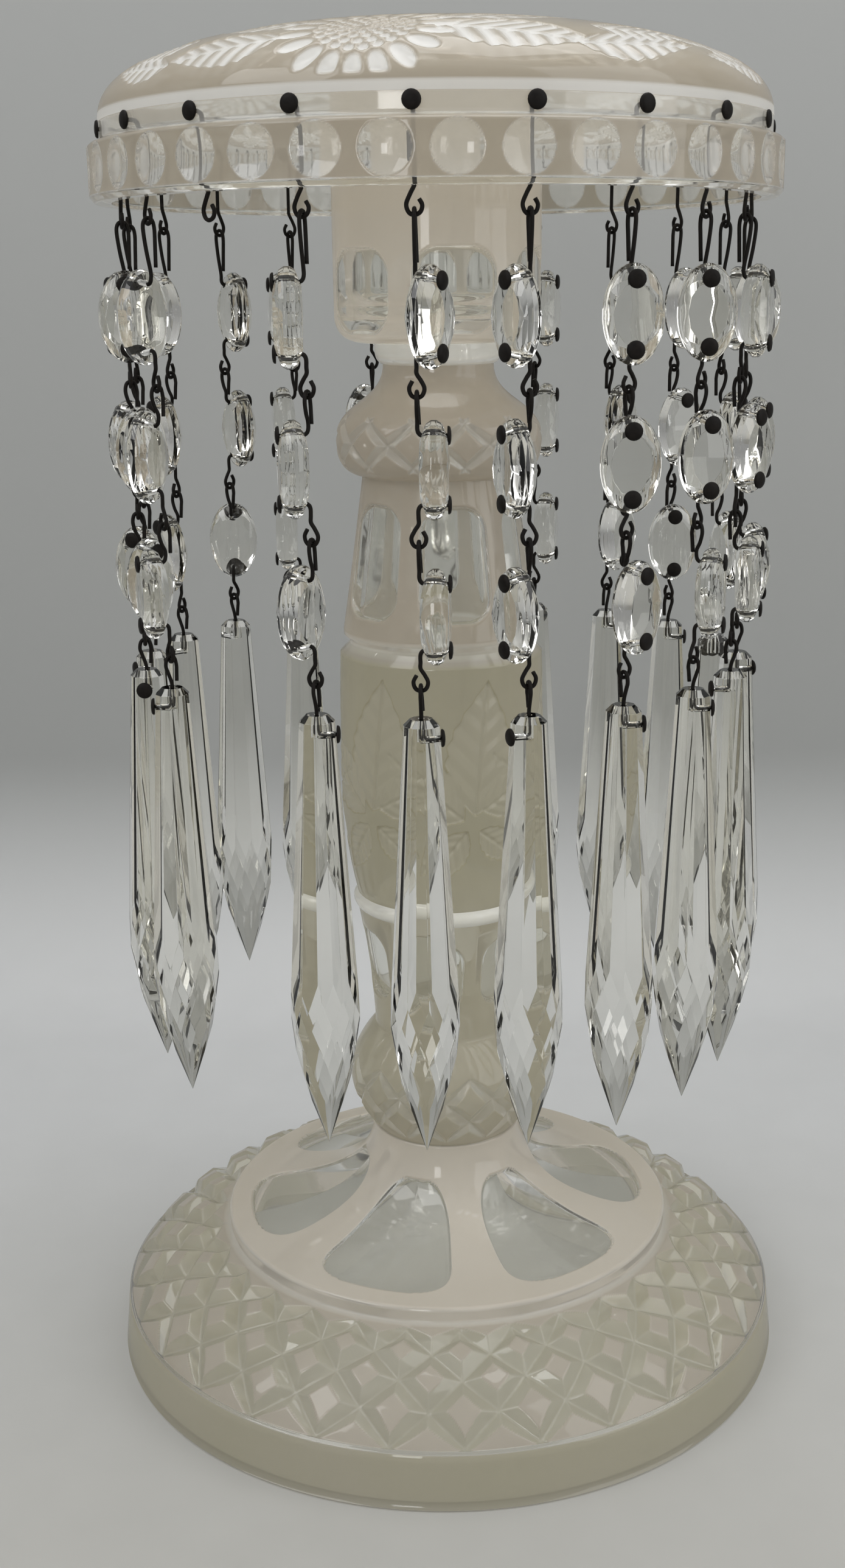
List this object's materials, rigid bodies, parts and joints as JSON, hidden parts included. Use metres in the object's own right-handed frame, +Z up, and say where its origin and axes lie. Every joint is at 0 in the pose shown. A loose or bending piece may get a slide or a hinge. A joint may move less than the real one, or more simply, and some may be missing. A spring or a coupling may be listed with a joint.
{
  "type": "mantel lustre",
  "caption": "Cut cased-glass mantel lustre: hollow foot, baluster column and candle cup under a domed canopy hung with swinging bead strands and spear prisms.",
  "frame": {"origin": "centre of the foot's underside, on the surface that the lustre stands on", "axes": "+Z up along the stem, -Y towards the picture's camera, +X to its right"},
  "size_m": [0.178, 0.178, 0.3326],
  "materials": {
    "cased_glass": "milky cased glass, polished",
    "clear_glass": "clear, polished",
    "crystal": "cut and polished",
    "pin_wire": "black oxidised steel"
  },
  "bodies": {
    "stand": {"foot": "cased_glass", "lower_wafer": "clear_glass", "column": "cased_glass", "upper_wafer": "clear_glass", "candle_cup": "cased_glass", "canopy": "cased_glass", "rim_pins": "pin_wire"},
    "strand_01": {"bead_strand_01": "crystal"},
    "spear_01": {"prism_01": "crystal"},
    "strand_02": {"bead_strand_02": "crystal"},
    "spear_02": {"prism_02": "crystal"},
    "strand_03": {"bead_strand_03": "crystal"},
    "spear_03": {"prism_03": "crystal"},
    "strand_04": {"bead_strand_04": "crystal"},
    "spear_04": {"prism_04": "crystal"},
    "strand_05": {"bead_strand_05": "crystal"},
    "spear_05": {"prism_05": "crystal"},
    "strand_06": {"bead_strand_06": "crystal"},
    "spear_06": {"prism_06": "crystal"},
    "strand_07": {"bead_strand_07": "crystal"},
    "spear_07": {"prism_07": "crystal"},
    "strand_08": {"bead_strand_08": "crystal"},
    "spear_08": {"prism_08": "crystal"},
    "strand_09": {"bead_strand_09": "crystal"},
    "spear_09": {"prism_09": "crystal"},
    "strand_10": {"bead_strand_10": "crystal"},
    "spear_10": {"prism_10": "crystal"},
    "strand_11": {"bead_strand_11": "crystal"},
    "spear_11": {"prism_11": "crystal"},
    "strand_12": {"bead_strand_12": "crystal"},
    "spear_12": {"prism_12": "crystal"},
    "strand_13": {"bead_strand_13": "crystal"},
    "spear_13": {"prism_13": "crystal"},
    "strand_14": {"bead_strand_14": "crystal"},
    "spear_14": {"prism_14": "crystal"},
    "strand_15": {"bead_strand_15": "crystal"},
    "spear_15": {"prism_15": "crystal"},
    "strand_16": {"bead_strand_16": "crystal"},
    "spear_16": {"prism_16": "crystal"},
    "strand_17": {"bead_strand_17": "crystal"},
    "spear_17": {"prism_17": "crystal"},
    "strand_18": {"bead_strand_18": "crystal"},
    "spear_18": {"prism_18": "crystal"},
    "strand_20": {"bead_strand_20": "crystal"},
    "spear_20": {"prism_20": "crystal"}
  },
  "joints": [
    {"name": "strand_swing_01", "type": "hinge", "parent": "stand", "child": "strand_01", "pos_m": [-0.0044, -0.07407, 0.2896], "axis": [-0.9982, 0.0593, 0], "range_deg": [-5, 20]},
    {"name": "spear_swing_01", "type": "hinge", "parent": "strand_01", "child": "spear_01", "pos_m": [-0.0044, -0.07407, 0.19315], "axis": [-0.9982, 0.0593, 0], "range_deg": [-7, 20]},
    {"name": "strand_swing_02", "type": "hinge", "parent": "stand", "child": "strand_02", "pos_m": [0.0187, -0.0718, 0.2896], "axis": [-0.9677, -0.2521, 0], "range_deg": [-5, 20]},
    {"name": "spear_swing_02", "type": "hinge", "parent": "strand_02", "child": "spear_02", "pos_m": [0.0187, -0.0718, 0.19315], "axis": [-0.9677, -0.2521, 0], "range_deg": [-7, 20]},
    {"name": "strand_swing_03", "type": "hinge", "parent": "stand", "child": "strand_03", "pos_m": [0.03998, -0.06251, 0.2896], "axis": [-0.8425, -0.5388, 0], "range_deg": [-5, 20]},
    {"name": "spear_swing_03", "type": "hinge", "parent": "strand_03", "child": "spear_03", "pos_m": [0.03998, -0.06251, 0.19315], "axis": [-0.8425, -0.5388, 0], "range_deg": [-7, 20]},
    {"name": "strand_swing_04", "type": "hinge", "parent": "stand", "child": "strand_04", "pos_m": [0.05734, -0.0471, 0.2896], "axis": [-0.6347, -0.7727, 0], "range_deg": [-5, 20]},
    {"name": "spear_swing_04", "type": "hinge", "parent": "strand_04", "child": "spear_04", "pos_m": [0.05734, -0.0471, 0.19315], "axis": [-0.6347, -0.7727, 0], "range_deg": [-7, 20]},
    {"name": "strand_swing_05", "type": "hinge", "parent": "stand", "child": "strand_05", "pos_m": [0.06908, -0.02707, 0.2896], "axis": [-0.3649, -0.9311, 0], "range_deg": [-5, 20]},
    {"name": "spear_swing_05", "type": "hinge", "parent": "strand_05", "child": "spear_05", "pos_m": [0.06908, -0.02707, 0.19315], "axis": [-0.3649, -0.9311, 0], "range_deg": [-7, 20]},
    {"name": "strand_swing_06", "type": "hinge", "parent": "stand", "child": "strand_06", "pos_m": [0.07407, -0.0044, 0.2896], "axis": [-0.0593, -0.9982, 0], "range_deg": [-5, 20]},
    {"name": "spear_swing_06", "type": "hinge", "parent": "strand_06", "child": "spear_06", "pos_m": [0.07407, -0.0044, 0.19315], "axis": [-0.0593, -0.9982, 0], "range_deg": [-7, 20]},
    {"name": "strand_swing_07", "type": "hinge", "parent": "stand", "child": "strand_07", "pos_m": [0.0718, 0.0187, 0.2896], "axis": [0.2521, -0.9677, 0], "range_deg": [-5, 20]},
    {"name": "spear_swing_07", "type": "hinge", "parent": "strand_07", "child": "spear_07", "pos_m": [0.0718, 0.0187, 0.19315], "axis": [0.2521, -0.9677, 0], "range_deg": [-7, 20]},
    {"name": "strand_swing_08", "type": "hinge", "parent": "stand", "child": "strand_08", "pos_m": [0.06251, 0.03998, 0.2896], "axis": [0.5388, -0.8425, 0], "range_deg": [-5, 20]},
    {"name": "spear_swing_08", "type": "hinge", "parent": "strand_08", "child": "spear_08", "pos_m": [0.06251, 0.03998, 0.19315], "axis": [0.5388, -0.8425, 0], "range_deg": [-7, 20]},
    {"name": "strand_swing_09", "type": "hinge", "parent": "stand", "child": "strand_09", "pos_m": [0.0471, 0.05734, 0.2896], "axis": [0.7727, -0.6347, 0], "range_deg": [-5, 20]},
    {"name": "spear_swing_09", "type": "hinge", "parent": "strand_09", "child": "spear_09", "pos_m": [0.0471, 0.05734, 0.19315], "axis": [0.7727, -0.6347, 0], "range_deg": [-7, 20]},
    {"name": "strand_swing_10", "type": "hinge", "parent": "stand", "child": "strand_10", "pos_m": [0.02707, 0.06908, 0.2896], "axis": [0.9311, -0.3649, 0], "range_deg": [-5, 20]},
    {"name": "spear_swing_10", "type": "hinge", "parent": "strand_10", "child": "spear_10", "pos_m": [0.02707, 0.06908, 0.19315], "axis": [0.9311, -0.3649, 0], "range_deg": [-7, 20]},
    {"name": "strand_swing_11", "type": "hinge", "parent": "stand", "child": "strand_11", "pos_m": [0.0044, 0.07407, 0.2896], "axis": [0.9982, -0.0593, 0], "range_deg": [-5, 20]},
    {"name": "spear_swing_11", "type": "hinge", "parent": "strand_11", "child": "spear_11", "pos_m": [0.0044, 0.07407, 0.19315], "axis": [0.9982, -0.0593, 0], "range_deg": [-7, 20]},
    {"name": "strand_swing_12", "type": "hinge", "parent": "stand", "child": "strand_12", "pos_m": [-0.0187, 0.0718, 0.2896], "axis": [0.9677, 0.2521, 0], "range_deg": [-5, 20]},
    {"name": "spear_swing_12", "type": "hinge", "parent": "strand_12", "child": "spear_12", "pos_m": [-0.0187, 0.0718, 0.19315], "axis": [0.9677, 0.2521, 0], "range_deg": [-7, 20]},
    {"name": "strand_swing_13", "type": "hinge", "parent": "stand", "child": "strand_13", "pos_m": [-0.03998, 0.06251, 0.2896], "axis": [0.8425, 0.5388, 0], "range_deg": [-5, 20]},
    {"name": "spear_swing_13", "type": "hinge", "parent": "strand_13", "child": "spear_13", "pos_m": [-0.03998, 0.06251, 0.19315], "axis": [0.8425, 0.5388, 0], "range_deg": [-7, 20]},
    {"name": "strand_swing_14", "type": "hinge", "parent": "stand", "child": "strand_14", "pos_m": [-0.05734, 0.0471, 0.2896], "axis": [0.6347, 0.7727, 0], "range_deg": [-5, 20]},
    {"name": "spear_swing_14", "type": "hinge", "parent": "strand_14", "child": "spear_14", "pos_m": [-0.05734, 0.0471, 0.19315], "axis": [0.6347, 0.7727, 0], "range_deg": [-7, 20]},
    {"name": "strand_swing_15", "type": "hinge", "parent": "stand", "child": "strand_15", "pos_m": [-0.06908, 0.02707, 0.2896], "axis": [0.3649, 0.9311, 0], "range_deg": [-5, 20]},
    {"name": "spear_swing_15", "type": "hinge", "parent": "strand_15", "child": "spear_15", "pos_m": [-0.06908, 0.02707, 0.19315], "axis": [0.3649, 0.9311, 0], "range_deg": [-7, 20]},
    {"name": "strand_swing_16", "type": "hinge", "parent": "stand", "child": "strand_16", "pos_m": [-0.07407, 0.0044, 0.2896], "axis": [0.0593, 0.9982, 0], "range_deg": [-5, 20]},
    {"name": "spear_swing_16", "type": "hinge", "parent": "strand_16", "child": "spear_16", "pos_m": [-0.07407, 0.0044, 0.19315], "axis": [0.0593, 0.9982, 0], "range_deg": [-7, 20]},
    {"name": "strand_swing_17", "type": "hinge", "parent": "stand", "child": "strand_17", "pos_m": [-0.0718, -0.0187, 0.2896], "axis": [-0.2521, 0.9677, 0], "range_deg": [-5, 20]},
    {"name": "spear_swing_17", "type": "hinge", "parent": "strand_17", "child": "spear_17", "pos_m": [-0.0718, -0.0187, 0.19315], "axis": [-0.2521, 0.9677, 0], "range_deg": [-7, 20]},
    {"name": "strand_swing_18", "type": "hinge", "parent": "stand", "child": "strand_18", "pos_m": [-0.06251, -0.03998, 0.2896], "axis": [-0.5388, 0.8425, 0], "range_deg": [-5, 20]},
    {"name": "spear_swing_18", "type": "hinge", "parent": "strand_18", "child": "spear_18", "pos_m": [-0.06251, -0.03998, 0.19315], "axis": [-0.5388, 0.8425, 0], "range_deg": [-7, 20]},
    {"name": "strand_swing_20", "type": "hinge", "parent": "stand", "child": "strand_20", "pos_m": [-0.02707, -0.06908, 0.2896], "axis": [-0.9311, 0.3649, 0], "range_deg": [-5, 20]},
    {"name": "spear_swing_20", "type": "hinge", "parent": "strand_20", "child": "spear_20", "pos_m": [-0.02707, -0.06908, 0.19315], "axis": [-0.9311, 0.3649, 0], "range_deg": [-7, 20]}
  ]
}
